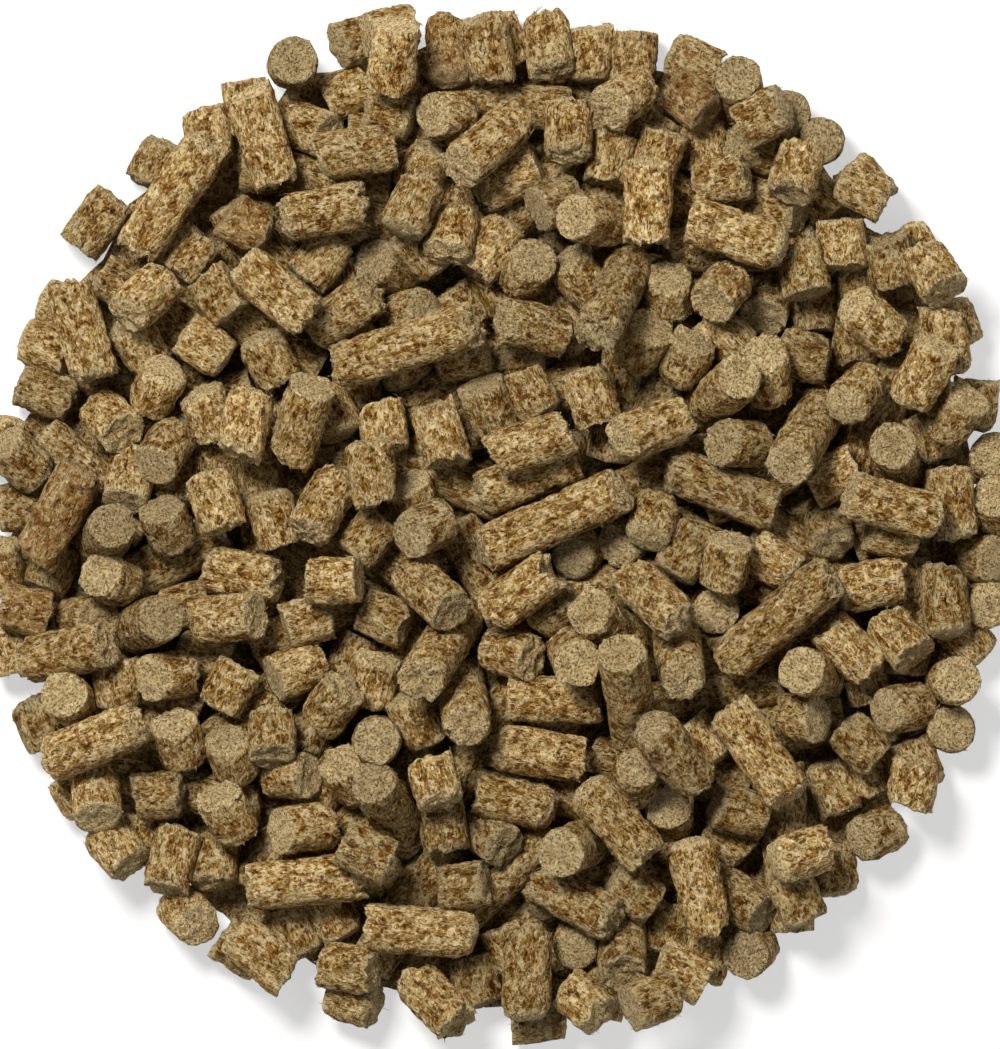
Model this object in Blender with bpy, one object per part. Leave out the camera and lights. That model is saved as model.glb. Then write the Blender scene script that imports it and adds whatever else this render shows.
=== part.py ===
"""Heap of litter pellets: pressed plant-fibre rods tipped into a round, shallow pile.

All pellets start near the place the picture shows them at and sink together, pushing each other aside,
until the heap is at rest. The loose ones of the top are solids of their own. The ones below hang together
as one bed, on a thin layer of crumbs with a flat underside.
Lengths are in metres, +Z is up and the pile stands on the plane z = 0.
"""

import math
import random

import bmesh
import bpy
import numpy as np
from mathutils import Matrix, Vector

HEAP_RADIUS = 0.0632
PELLET_RADIUS = 0.0030
END_BEVEL = 0.40 * PELLET_RADIUS
LOOSE_GAP = 0.00040
FUSED_BITE = 0.00070
CRUMB_REACH = 0.0016
TIE_RADIUS = 0.0010
MOST_TIES = 90
CRUMB_HEIGHT = 0.0011
CRUMB_RADIUS = 0.9415 * HEAP_RADIUS
CRUMB_BITE = 0.0004
HIDDEN_RADIUS = 0.791 * HEAP_RADIUS
HIDDEN_COUNT = 56
LEVELS = (1.33, 4.0, 6.33, 9.0)
STANDING_LEAN = 54.0
TOP_MIDDLE = 6.67 * PELLET_RADIUS
TOP_RIM = 3.67 * PELLET_RADIUS
LOOSE_SIDES = 10
FUSED_SIDES = 6
COVERED_SIDES = 5
FUSED_RADIUS = 1.03 * PELLET_RADIUS
SINK = 0.00012
SHAKES = 380
CALM_SHAKES = 120
DROPS = 40

# The visible pellets were counted across a round picture of the heap, seen from straight above. A row
# holds the middle of its higher end, the middle of its lower end, both in picture steps from the top
# left, and its lean in degrees, 0 for lying and 90 for standing on end.
CIRCLE_STEPS = 526.67
STEP = HEAP_RADIUS / CIRCLE_STEPS
STEP_MIDDLE = (496.0, 521.0)

LOOSE = [
    (138, 256, 208, 130, 12), (68, 282, 106, 385, 5), (122, 322, 160, 283, 35), (268, 395, 226, 458, 8),
    (84, 462, 24, 566, 5), (197, 480, 234, 535, 15), (262, 80, 272, 192, 8), (300, 57, 302, 59, 85),
    (389, 18, 385, 92, 10), (405, 157, 312, 150, 5), (446, 172, 520, 110, 22), (407, 233, 432, 185, 20),
    (366, 204, 282, 223, 20), (317, 320, 238, 262, 8), (477, 322, 328, 378, 5), (557, 90, 569, 156, 10),
    (600, 112, 652, 98, 40), (630, 246, 652, 158, 15), (748, 178, 688, 180, 12), (690, 222, 780, 266, 12),
    (793, 188, 802, 145, 30), (856, 292, 893, 350, 25), (893, 398, 945, 344, 15), (842, 410, 868, 372, 45),
    (560, 344, 497, 305, 5), (702, 302, 722, 262, 40), (573, 365, 604, 422, 5), (608, 442, 690, 420, 5),
    (490, 455, 580, 432, 8), (470, 540, 637, 492, 3), (708, 450, 764, 434, 20), (790, 467, 812, 447, 58),
    (847, 476, 945, 518, 6), (315, 378, 293, 470, 12), (372, 440, 377, 512, 5), (449, 462, 425, 405, 30),
    (307, 528, 340, 472, 38), (440, 515, 402, 556, 10), (728, 702, 790, 808, 6), (266, 622, 192, 608, 15),
    (152, 722, 46, 768, 6), (210, 785, 250, 828, 20), (308, 590, 360, 570, 12), (450, 642, 388, 573, 10),
    (318, 720, 352, 680, 20), (462, 730, 455, 708, 65), (583, 766, 488, 738, 6), (428, 752, 440, 808, 5),
    (345, 838, 390, 852, 12), (240, 886, 366, 885, 3), (594, 775, 640, 867, 6), (680, 832, 710, 930, 8),
    (535, 925, 544, 1022, 4), (768, 872, 828, 855, 12), (560, 567, 494, 630, 6), (635, 563, 672, 648, 8),
    (845, 580, 706, 652, 5), (635, 706, 703, 786, 8), (402, 985, 462, 1038, 6),
]

UPPER = [
    (78, 248, 98, 182, 8), (145, 162, 158, 124, 30), (230, 210, 264, 230, 30), (232, 318, 202, 275, 10),
    (330, 34, 345, 8, 35), (345, 118, 293, 100, 12), (371, 20, 378, 2, 10), (410, 115, 364, 112, 8),
    (447, 92, 431, 12, 6), (476, 20, 481, 98, 3), (446, 116, 462, 104, 50), (436, 264, 460, 222, 10),
    (330, 245, 318, 268, 40), (375, 278, 318, 335, 20), (470, 262, 522, 220, 10), (482, 190, 548, 160, 12),
    (514, 68, 512, 4, 8), (548, 76, 558, 4, 15), (598, 75, 603, 4, 12), (645, 68, 638, 8, 10),
    (594, 184, 617, 142, 20), (706, 55, 670, 62, 10), (738, 64, 742, 84, 60), (732, 104, 682, 92, 8),
    (795, 99, 742, 112, 8), (774, 152, 728, 136, 10), (808, 234, 722, 205, 5), (535, 202, 568, 184, 30),
    (580, 222, 596, 225, 65), (522, 262, 506, 284, 50), (606, 278, 562, 262, 10), (682, 306, 660, 264, 10),
    (598, 332, 612, 305, 60), (652, 328, 636, 348, 52), (698, 342, 678, 384, 15), (728, 384, 724, 396, 76),
    (634, 392, 658, 374, 35), (522, 372, 542, 412, 15), (658, 472, 784, 505, 4), (650, 528, 661, 490, 20),
    (735, 535, 722, 560, 50), (612, 552, 640, 520, 10), (672, 562, 690, 540, 45), (596, 612, 606, 622, 66),
    (583, 660, 577, 652, 80), (625, 655, 625, 678, 56), (682, 682, 680, 656, 60), (815, 275, 815, 242, 35),
    (850, 262, 845, 216, 8), (893, 278, 888, 228, 10), (958, 292, 926, 242, 8), (955, 372, 947, 296, 5),
    (882, 448, 884, 450, 84), (795, 342, 832, 358, 10), (758, 345, 780, 412, 8), (755, 315, 778, 290, 40),
    (962, 400, 940, 426, 48), (951, 545, 950, 462, 5), (1000, 540, 988, 472, 5), (888, 205, 852, 190, 15),
    (135, 446, 106, 408, 35), (152, 465, 182, 438, 45), (165, 365, 150, 402, 45), (195, 345, 212, 370, 30),
    (205, 424, 210, 386, 25), (245, 345, 276, 372, 15), (66, 420, 15, 376, 8), (46, 467, 8, 452, 10),
    (50, 342, 12, 335, 8), (114, 528, 108, 536, 78), (162, 508, 180, 540, 45), (254, 494, 270, 546, 10),
    (443, 290, 395, 318, 8), (480, 392, 495, 426, 45), (42, 608, 0, 608, 8), (105, 570, 122, 596, 50),
    (65, 606, 135, 628, 5), (22, 662, 128, 640, 5), (153, 617, 145, 618, 74), (200, 572, 286, 580, 6),
    (242, 668, 212, 712, 20), (152, 676, 180, 668, 52), (182, 734, 200, 746, 50), (68, 699, 70, 701, 84),
    (104, 818, 102, 772, 8), (128, 792, 182, 790, 5), (268, 757, 262, 718, 38), (398, 632, 365, 624, 25),
    (278, 678, 315, 658, 8), (384, 725, 386, 727, 84), (426, 690, 440, 672, 55), (485, 670, 530, 655, 10),
    (602, 716, 505, 692, 6), (470, 780, 552, 812, 4), (375, 793, 381, 797, 76), (340, 750, 343, 776, 50),
    (318, 780, 268, 782, 8), (274, 836, 318, 828, 45), (358, 926, 476, 927, 3), (442, 893, 484, 880, 18),
    (508, 852, 482, 840, 45), (565, 855, 576, 840, 66), (630, 928, 535, 888, 5), (592, 960, 585, 932, 20),
    (626, 980, 628, 962, 58), (690, 978, 662, 962, 15), (784, 960, 736, 972, 5), (762, 928, 728, 868, 6),
    (858, 886, 853, 842, 8), (828, 762, 856, 812, 22), (792, 722, 824, 718, 25), (800, 668, 804, 672, 76),
    (868, 680, 820, 628, 10), (914, 645, 898, 617, 40), (950, 562, 950, 640, 6), (967, 669, 965, 671, 78),
    (898, 716, 934, 712, 42), (910, 580, 838, 600, 6), (925, 805, 922, 762, 8), (882, 842, 905, 836, 12),
    (165, 900, 187, 830, 5), (210, 904, 210, 842, 6), (115, 868, 95, 832, 8), (200, 942, 168, 930, 10),
    (232, 930, 284, 988, 12), (318, 975, 380, 970, 12), (362, 1028, 348, 1002, 45), (487, 1010, 473, 955, 10),
    (598, 1040, 590, 1010, 8), (680, 1015, 636, 1028, 5), (815, 940, 790, 905, 6),
]

LOWER = [
    (190, 115, 208, 88, 25), (230, 105, 217, 72, 10), (212, 238, 192, 262, 15), (352, 66, 322, 84, 20),
    (418, 88, 412, 68, 10), (426, 136, 418, 170, 15), (418, 258, 405, 240, 30), (370, 252, 402, 272, 8),
    (668, 165, 662, 112, 10), (704, 138, 700, 150, 35), (684, 250, 670, 212, 10), (728, 352, 705, 335, 10),
    (582, 474, 472, 496, 4), (584, 590, 583, 538, 8), (548, 648, 562, 616, 12), (742, 570, 782, 566, 15),
    (712, 618, 722, 588, 10), (815, 308, 812, 285, 10), (930, 456, 918, 424, 12), (828, 480, 836, 452, 10),
    (838, 560, 832, 520, 10), (905, 545, 866, 536, 8), (975, 438, 990, 402, 10), (985, 365, 984, 312, 5),
    (825, 205, 815, 175, 10), (826, 150, 820, 125, 25), (914, 228, 916, 205, 20), (885, 165, 846, 150, 8),
    (815, 112, 805, 98, 15), (148, 345, 140, 332, 10), (225, 470, 225, 450, 20), (42, 312, 26, 300, 15),
    (22, 510, 2, 520, 10), (160, 492, 165, 478, 10), (122, 485, 130, 470, 10), (482, 304, 462, 280, 10),
    (380, 402, 375, 446, 8), (495, 362, 440, 380, 8), (420, 380, 380, 388, 5), (338, 430, 345, 402, 8),
    (405, 500, 420, 465, 8), (366, 548, 385, 524, 8), (60, 580, 88, 560, 8), (188, 645, 216, 668, 8),
    (112, 688, 108, 664, 10), (12, 728, 6, 700, 8), (190, 752, 140, 748, 5), (230, 765, 220, 750, 10),
    (392, 690, 393, 656, 10), (300, 642, 318, 632, 8), (425, 725, 420, 705, 10), (430, 845, 414, 815, 10),
    (716, 990, 716, 962, 10), (855, 705, 836, 668, 10), (992, 590, 988, 560, 6), (995, 640, 990, 612, 8),
    (886, 800, 888, 752, 5), (945, 780, 932, 752, 8), (960, 745, 965, 728, 20), (868, 746, 838, 728, 8),
    (138, 862, 134, 828, 10), (76, 818, 66, 800, 10), (235, 975, 208, 962, 8), (298, 940, 290, 912, 8),
    (510, 965, 506, 925, 8), (342, 935, 322, 920, 10), (582, 1002, 584, 970, 8), (540, 1042, 510, 1035, 5),
    (768, 815, 722, 818, 5), (665, 822, 660, 800, 8), (665, 900, 612, 878, 5), (666, 935, 662, 908, 8),
    (724, 850, 724, 828, 8), (636, 768, 640, 780, 50), (715, 765, 700, 720, 6), (-12, 420, -6, 480, 5),
    (-16, 530, -8, 590, 5), (-6, 640, 0, 676, 6), (1012, 420, 1010, 470, 5), (1008, 640, 1004, 690, 5),
]


def nearest(middle_a, way_a, half_a, middle_b, way_b, half_b):
    """Nearest points of straight axes: how far along each they lie, and the step from the one to the other."""
    apart = middle_b - middle_a
    turn = (way_a * way_b).sum(-1)
    along_a = (apart * way_a).sum(-1)
    along_b = (apart * way_b).sum(-1)
    part_a = (along_a - turn * along_b) / np.maximum(1.0 - turn * turn, 1e-9)
    part_a = np.clip(part_a, -half_a, half_a)
    part_b = np.clip(turn * part_a - along_b, -half_b, half_b)
    part_a = np.clip(along_a + turn * part_b, -half_a, half_a)
    step = apart + way_b * part_b[..., None] - way_a * part_a[..., None]
    return part_a, part_b, step, np.sqrt((step * step).sum(-1))


def top_height(reach):
    """Height the upper ends of standing pellets come to at this distance from the middle."""
    share = min(reach / HEAP_RADIUS, 1.0)
    return TOP_MIDDLE + (TOP_RIM - TOP_MIDDLE) * share ** 3


def from_picture(row, level):
    """One listed row as a pellet that still has to come to rest."""
    high = Vector(((row[0] - STEP_MIDDLE[0]) * STEP, (STEP_MIDDLE[1] - row[1]) * STEP))
    low = Vector(((row[2] - STEP_MIDDLE[0]) * STEP, (STEP_MIDDLE[1] - row[3]) * STEP))
    limit = HEAP_RADIUS - 0.35 * PELLET_RADIUS
    for end in (high, low):
        if end.length > limit:
            end *= limit / end.length
    run = high - low
    lean = math.radians(row[4])
    heading = math.atan2(run.y, run.x)
    length = max(run.length / math.cos(min(lean, 0.9)), 2.3 * PELLET_RADIUS)
    middle = (high + low) / 2
    standing = row[4] >= STANDING_LEAN
    if standing:
        tall = top_height(high.length) - PELLET_RADIUS * math.cos(lean) - CRUMB_HEIGHT
        length = max(tall / math.sin(lean), 2.3 * PELLET_RADIUS)
        middle = high - Vector((math.cos(heading), math.sin(heading))) * length / 2 * math.cos(lean)
    keep = HEAP_RADIUS - 0.95 * PELLET_RADIUS
    if middle.length > keep:
        middle *= keep / middle.length
    height = LEVELS[level] * PELLET_RADIUS
    if standing:
        height = CRUMB_HEIGHT + length / 2 * math.sin(lean) + PELLET_RADIUS * math.cos(lean)
    return {
        "middle": (middle.x, middle.y, height),
        "way": (math.cos(lean) * math.cos(heading), math.cos(lean) * math.sin(heading), math.sin(lean)),
        "length": length,
        "loose": level == 3,
        "grip": 0.12 if standing else 0.02 + 0.01 * level,
        "hold": 0.15 if standing else (0.05 if row[4] > 32 else 0.01),
    }


def hidden_pellets():
    """Pellets of the covered layer, spread evenly from the middle out."""
    dice = random.Random(11)
    found = []
    for number in range(HIDDEN_COUNT):
        turn = number * 2.399963
        reach = HIDDEN_RADIUS * math.sqrt((number + 0.5) / HIDDEN_COUNT)
        heading = dice.uniform(0, math.pi)
        found.append({
            "middle": (reach * math.cos(turn), reach * math.sin(turn), LEVELS[0] * PELLET_RADIUS),
            "way": (math.cos(heading), math.sin(heading), 0.0),
            "length": dice.uniform(4.7, 7.3) * PELLET_RADIUS,
            "loose": False,
            "grip": 0.004,
            "hold": 0.01,
        })
    return found


class Pile:
    """All pellets of the heap as arrays, and the steps that bring them to rest."""

    def __init__(self, pellets):
        self.middle = np.array([pellet["middle"] for pellet in pellets])
        self.way = np.round(np.array([pellet["way"] for pellet in pellets]), 9)
        self.length = np.array([pellet["length"] for pellet in pellets])
        self.half = self.length / 2 - END_BEVEL
        self.loose = np.array([pellet["loose"] for pellet in pellets])
        self.grip = np.array([pellet["grip"] for pellet in pellets])
        self.hold = np.array([pellet["hold"] for pellet in pellets])
        self.spin = self.length ** 2 / 12 + PELLET_RADIUS ** 2 / 4

    def spacing(self, one, two):
        """Wanted distance of two axes: fused pellets bite a little, loose ones keep a gap."""
        return 2 * PELLET_RADIUS + np.where(self.loose[one] | self.loose[two], LOOSE_GAP, -FUSED_BITE)

    def push_apart(self, one, two, wanted):
        """Moves and turns each pair that is too close, half each."""
        part_one, part_two, step, apart = nearest(
            self.middle[one], self.way[one], self.half[one], self.middle[two], self.way[two], self.half[two])
        close = wanted > apart
        one, two = one[close], two[close]
        lever_one = part_one[close] / self.spin[one]
        lever_two = part_two[close] / self.spin[two]
        ease = 2 + part_one[close] * lever_one + part_two[close] * lever_two
        push = ((wanted - apart)[close] / ease / np.maximum(apart[close], 1e-6))[:, None] * step[close]
        count = len(self.length)
        touching = np.maximum(np.bincount(one, minlength=count) + np.bincount(two, minlength=count), 1)
        calm = 1.3 / np.sqrt(touching)
        for axis in range(3):
            moved = np.bincount(two, push[:, axis], count) - np.bincount(one, push[:, axis], count)
            turned = np.bincount(two, push[:, axis] * lever_two, count)
            turned -= np.bincount(one, push[:, axis] * lever_one, count)
            self.middle[:, axis] += moved * calm
            self.way[:, axis] += turned * calm

    def keep_inside(self):
        """Holds both ends of every pellet above the ground and inside the round of the heap."""
        ease = 1 + self.half ** 2 / self.spin
        for end in (-1, 1):
            upright = np.abs(self.way[:, 2])
            flat = np.sqrt(np.maximum(1 - upright ** 2, 0))
            ground = CRUMB_HEIGHT + np.where(self.loose, LOOSE_GAP, -CRUMB_BITE)
            low = ground + PELLET_RADIUS * flat + END_BEVEL * upright
            lift = np.maximum(low - self.middle[:, 2] - end * self.half * self.way[:, 2], 0) / ease
            self.middle[:, 2] += lift
            self.way[:, 2] += end * lift * self.half / self.spin
            tip = self.middle[:, :2] + (end * self.half)[:, None] * self.way[:, :2]
            reach = np.sqrt((tip * tip).sum(-1))
            over = np.maximum(reach - HEAP_RADIUS + 0.9 * PELLET_RADIUS, 0) / np.maximum(reach, 1e-9) / ease
            self.middle[:, :2] -= tip * over[:, None]
            self.way[:, :2] -= tip * (over * end * self.half / self.spin)[:, None]
        self.way /= np.sqrt((self.way * self.way).sum(-1))[:, None]

    def shake_down(self):
        """Lets all pellets sink together while they push each other aside and keep near their places."""
        home = self.middle.copy()
        wanted_way = self.way.copy()
        for turn in range(SHAKES + CALM_SHAKES):
            if turn % 8 == 0:
                reach = self.half[:, None] + self.half[None] + 3.0 * PELLET_RADIUS
                step = self.middle[:, None] - self.middle[None]
                one, two = np.nonzero(np.triu((step * step).sum(-1) < reach * reach, 1))
                wanted = self.spacing(one, two)
            calm = turn >= SHAKES
            self.middle[:, 2] -= SINK * (0.08 if calm else 1 - 0.8 * turn / SHAKES)
            for _ in range(2):
                self.push_apart(one, two, wanted)
                self.keep_inside()
            if not calm:
                self.middle[:, :2] += (home - self.middle)[:, :2] * self.grip[:, None]
                self.way += (wanted_way - self.way) * self.hold[:, None]
                self.way[:, :2] += (wanted_way - self.way)[:, :2] * self.grip[:, None]
                self.way /= np.sqrt((self.way * self.way).sum(-1))[:, None]
            self.middle = np.round(self.middle, 8)
            self.way = np.round(self.way, 8)

    def spaces_around(self, index):
        """Distance of one pellet's axis from all others, and last the height of its underside."""
        one = np.full(len(self.length), index)
        apart = nearest(self.middle[one], self.way[one], self.half[one], self.middle, self.way, self.half)[3]
        apart[index] = 1.0
        lowest = self.middle[index, 2] - self.half[index] * abs(self.way[index, 2])
        return np.append(apart, lowest - CRUMB_HEIGHT + PELLET_RADIUS)

    def let_down(self):
        """Lets every loose pellet down in small steps until something under it is a gap away."""
        for _ in range(DROPS):
            for index in np.nonzero(self.loose)[0]:
                before = self.spaces_around(index)
                self.middle[index, 2] -= 0.5 * LOOSE_GAP
                after = self.spaces_around(index)
                if (after < np.minimum(before - 1e-7, 2 * PELLET_RADIUS + LOOSE_GAP)).any():
                    self.middle[index, 2] += 0.5 * LOOSE_GAP

    def ties(self):
        """Which fused pellets hang together from the ground, and the crumbs that tie the others to them."""
        fused = np.nonzero(~self.loose)[0]
        one, two = np.triu_indices(len(fused), 1)
        one, two = fused[one], fused[two]
        step = self.middle[one] - self.middle[two]
        reach = self.half[one] + self.half[two] + 2 * PELLET_RADIUS + CRUMB_REACH
        near = (step * step).sum(-1) < reach * reach
        one, two = one[near], two[near]
        part_one, part_two, step, apart = nearest(
            self.middle[one], self.way[one], self.half[one], self.middle[two], self.way[two], self.half[two])
        inner = (np.abs(part_one) < self.half[one]) | (np.abs(part_two) < self.half[two])
        bitten = (apart < 2 * PELLET_RADIUS - 0.7 * FUSED_BITE) & inner
        spots = self.middle[one] + self.way[one] * part_one[:, None] + step / 2
        upright = np.abs(self.way[:, 2])
        flat = np.sqrt(np.maximum(1 - upright ** 2, 0))
        deep = (self.half + END_BEVEL) * upright + 0.9 * PELLET_RADIUS * flat
        lowest = self.middle[:, 2] - np.maximum(deep, self.half * upright + PELLET_RADIUS * flat)
        belongs = (lowest < CRUMB_HEIGHT - 0.3 * CRUMB_BITE) & ~self.loose
        belongs &= np.sqrt((self.middle[:, :2] ** 2).sum(-1)) < CRUMB_RADIUS - PELLET_RADIUS
        crumbs = []
        for _ in range(MOST_TIES):
            for _ in range(40):
                belongs[two[bitten & belongs[one]]] = True
                belongs[one[bitten & belongs[two]]] = True
            open_pairs = np.nonzero((belongs[one] != belongs[two]) & (apart < 2 * PELLET_RADIUS + CRUMB_REACH))[0]
            chosen = None
            for pair in open_pairs[np.argsort(np.round(apart[open_pairs], 6), kind="stable")]:
                offset = spots[pair] - self.middle
                along = np.clip((offset * self.way).sum(-1), -self.half, self.half)
                clear = offset - self.way * along[:, None]
                room = np.sqrt((clear * clear).sum(-1))[self.loose].min() - PELLET_RADIUS - TIE_RADIUS
                if room > 0.25 * LOOSE_GAP:
                    chosen = pair
                    break
            if chosen is None:
                break
            crumbs.append((spots[chosen], step[chosen] / apart[chosen]))
            bitten[chosen] = True
        return belongs, crumbs


def settled_pile():
    """The whole heap at rest, centred over the origin."""
    pellets = hidden_pellets()
    pellets += [from_picture(row, 1) for row in LOWER]
    pellets += [from_picture(row, 2) for row in UPPER]
    pellets += [from_picture(row, 3) for row in LOOSE]
    pile = Pile(pellets)
    pile.shake_down()
    pile.let_down()
    side = np.abs(pile.way[:, :2]) * pile.half[:, None] + PELLET_RADIUS
    low = (pile.middle[:, :2] - side).min(axis=0)
    high = (pile.middle[:, :2] + side).max(axis=0)
    pile.middle[:, :2] -= np.round((low + high) / 2, 6)
    return pile


def place(middle, way, roll):
    """Turns an upright form so that its own +Z points along the pellet, and moves it to its middle."""
    turned = Vector(way).to_track_quat("Z", "Y").to_matrix().to_4x4()
    return Matrix.Translation(Vector(middle)) @ turned @ Matrix.Rotation(roll, 4, "Z")


def fused_pellet(length, matrix, sides):
    """A plain many-sided rod for the fused bed."""
    work = bmesh.new()
    bmesh.ops.create_cone(
        work, cap_ends=True, segments=sides, radius1=FUSED_RADIUS, radius2=FUSED_RADIUS,
        depth=length - 0.25 * END_BEVEL, matrix=matrix,
    )
    return work


def tie_crumb(matrix):
    """A crumb wedged between two pellets that don't quite touch."""
    work = bmesh.new()
    bmesh.ops.create_cone(
        work, cap_ends=True, segments=6, radius1=TIE_RADIUS, radius2=TIE_RADIUS,
        depth=CRUMB_REACH + 1.2 * TIE_RADIUS, matrix=matrix,
    )
    return work


def loose_pellet(length, matrix, dice):
    """A rod with broken ends: each end face leans and is ragged, and its rim is worn."""
    work = bmesh.new()
    bmesh.ops.create_cone(
        work, cap_ends=True, cap_tris=True, segments=LOOSE_SIDES, radius1=PELLET_RADIUS * 0.90,
        radius2=PELLET_RADIUS * 0.90, depth=length,
    )
    sides = [edge for edge in work.edges if abs(edge.verts[0].co.z - edge.verts[1].co.z) > length * 0.9]
    cut = bmesh.ops.subdivide_edges(work, edges=sides, cuts=2)
    rings = [item for item in cut["geom_inner"] if isinstance(item, bmesh.types.BMVert)]
    for vert in rings:
        level = math.copysign(length / 2 - END_BEVEL, vert.co.z)
        around = vert.co.to_2d().normalized() * PELLET_RADIUS
        vert.co = (around.x, around.y, level)
    inner = set(rings)
    for end in (-1.0, 1.0):
        slope = dice.uniform(0.0, 0.30)
        facing = dice.uniform(0.0, 2 * math.pi)
        for vert in work.verts:
            if vert in inner or vert.co.z * end < 0:
                continue
            out = vert.co.to_2d().length
            if out < 0.1 * PELLET_RADIUS:
                vert.co.z -= end * dice.uniform(-0.05, 0.30) * PELLET_RADIUS
            else:
                side = math.atan2(vert.co.y, vert.co.x)
                back = slope * (1 + math.cos(side - facing)) / 2 + dice.uniform(0.0, 0.10)
                vert.co.z -= end * min(back, 0.32) * PELLET_RADIUS
    work.transform(matrix)
    work.normal_update()
    return work


def to_object(name, work, holder, smooth_angle=None):
    mesh = bpy.data.meshes.new(name)
    work.to_mesh(mesh)
    work.free()
    if smooth_angle is not None:
        mesh.shade_smooth()
        mesh.set_sharp_from_angle(angle=math.radians(smooth_angle))
    made = bpy.data.objects.new(name, mesh)
    holder.objects.link(made)
    return made


def fibre_material(name, colour):
    material = bpy.data.materials.new(name)
    material.use_nodes = True
    shader = material.node_tree.nodes["Principled BSDF"]
    shader.inputs["Base Color"].default_value = (*colour, 1.0)
    shader.inputs["Roughness"].default_value = 0.9
    shader.inputs["Metallic"].default_value = 0.0
    return material


def crumb_layer():
    """Thin layer of crumbs and dust under the pellets, with an uneven outline."""
    dice = random.Random(5)
    work = bmesh.new()
    bmesh.ops.create_cone(
        work, cap_ends=True, segments=48, radius1=CRUMB_RADIUS, radius2=CRUMB_RADIUS - 0.7 * CRUMB_HEIGHT,
        depth=CRUMB_HEIGHT, matrix=Matrix.Translation((0, 0, CRUMB_HEIGHT / 2)),
    )
    for index in range(48):
        grow = 1.0 + dice.uniform(-0.022, 0.012)
        for vert in work.verts:
            side = math.atan2(vert.co.y, vert.co.x) % (2 * math.pi)
            if abs(side - index * math.pi / 24) < 0.01:
                vert.co.x *= grow
                vert.co.y *= grow
    return work


def fuse(base, holder):
    """Joins the crumb layer and all pellets of the holder to one body, and drops stray splinters."""
    join = base.modifiers.new("fused", "BOOLEAN")
    join.operation = "UNION"
    join.solver = "EXACT"
    join.operand_type = "COLLECTION"
    join.collection = holder
    bpy.context.view_layer.update()
    graph = bpy.context.evaluated_depsgraph_get()
    joined = bpy.data.meshes.new_from_object(base.evaluated_get(graph))
    base.modifiers.remove(join)
    work = bmesh.new()
    work.from_mesh(joined)
    left = set(work.verts)
    groups = []
    while left:
        seed = left.pop()
        group = {seed}
        front = [seed]
        while front:
            vert = front.pop()
            for edge in vert.link_edges:
                other = edge.other_vert(vert)
                if other in left:
                    left.discard(other)
                    group.add(other)
                    front.append(other)
        groups.append(group)
    groups.sort(key=len, reverse=True)
    for group in groups[1:]:
        bmesh.ops.delete(work, geom=list(group), context="VERTS")
    return work


def build():
    for old in list(bpy.data.objects):
        bpy.data.objects.remove(old, do_unlink=True)
    heap = bpy.data.collections.new("litter_heap")
    bpy.context.scene.collection.children.link(heap)
    helpers = bpy.data.collections.new("bed_pellets")
    helpers.hide_render = True
    bpy.context.scene.collection.children.link(helpers)
    straw = fibre_material("pressed_fibre", (0.36, 0.25, 0.12))
    dusty = fibre_material("pressed_fibre_bed", (0.27, 0.18, 0.08))

    pile = settled_pile()
    belongs, crumbs = pile.ties()
    dice = random.Random(23)
    number = 0
    for index, length in enumerate(pile.length):
        matrix = place(pile.middle[index], pile.way[index], dice.uniform(0, math.pi))
        if pile.loose[index]:
            number += 1
            work = loose_pellet(length, matrix, dice)
            made = to_object(f"pellet_{number:02d}", work, heap, smooth_angle=40)
            made.data.materials.append(straw)
        elif belongs[index]:
            sides = COVERED_SIDES if index < HIDDEN_COUNT + len(LOWER) else FUSED_SIDES
            to_object(f"bed_{index:03d}", fused_pellet(length, matrix, sides), helpers)
    for index, (spot, way) in enumerate(crumbs):
        to_object(f"crumb_{index:02d}", tie_crumb(place(spot, way, 0.0)), helpers)
    for made in helpers.objects:
        made.hide_render = True
        made.display_type = "WIRE"
    base = to_object("crumb_layer", crumb_layer(), helpers)
    helpers.objects.unlink(base)
    bpy.context.scene.collection.objects.link(base)
    bed = to_object("litter_bed", fuse(base, helpers), heap, smooth_angle=40)
    bed.data.materials.append(dusty)
    bpy.data.objects.remove(base, do_unlink=True)
    for made in list(helpers.objects):
        bpy.data.objects.remove(made, do_unlink=True)


build()
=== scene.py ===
# %% [markdown]
# # A heap of litter pellets
# The litter is made of pressed plant-fibre rods, about 6 mm thick and 7 to 22 mm long, tipped into a
# round, shallow heap and seen from straight above. One could scatter rods with a rigid body simulation,
# but then no pellet lies where the picture shows it. So the rods start at the places that were read off
# the picture and sink together, which keeps each near its place and still lets each rest on others.

# %% The frame
import math
import random

import bpy
import numpy as np
from mathutils import Matrix, Vector


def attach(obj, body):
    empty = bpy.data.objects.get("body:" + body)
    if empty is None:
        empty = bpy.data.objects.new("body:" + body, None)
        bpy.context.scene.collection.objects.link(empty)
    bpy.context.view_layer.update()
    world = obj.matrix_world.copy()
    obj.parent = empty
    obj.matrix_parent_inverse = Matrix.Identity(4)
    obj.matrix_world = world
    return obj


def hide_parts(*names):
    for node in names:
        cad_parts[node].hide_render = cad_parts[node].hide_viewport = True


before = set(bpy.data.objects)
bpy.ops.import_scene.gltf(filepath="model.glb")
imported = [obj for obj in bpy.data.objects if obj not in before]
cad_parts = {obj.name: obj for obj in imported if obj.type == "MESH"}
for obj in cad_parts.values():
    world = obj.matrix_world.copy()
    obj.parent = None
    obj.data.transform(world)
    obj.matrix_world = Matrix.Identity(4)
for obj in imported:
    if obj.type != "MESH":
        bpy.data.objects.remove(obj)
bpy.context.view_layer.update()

# %% [markdown]
# The driving sizes are the same as in the part's source, so both scripts settle the very same heap.
# A picture step is 0.12 mm: a pellet is 50 steps thick, and the kind sold most is 6 mm.

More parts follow.
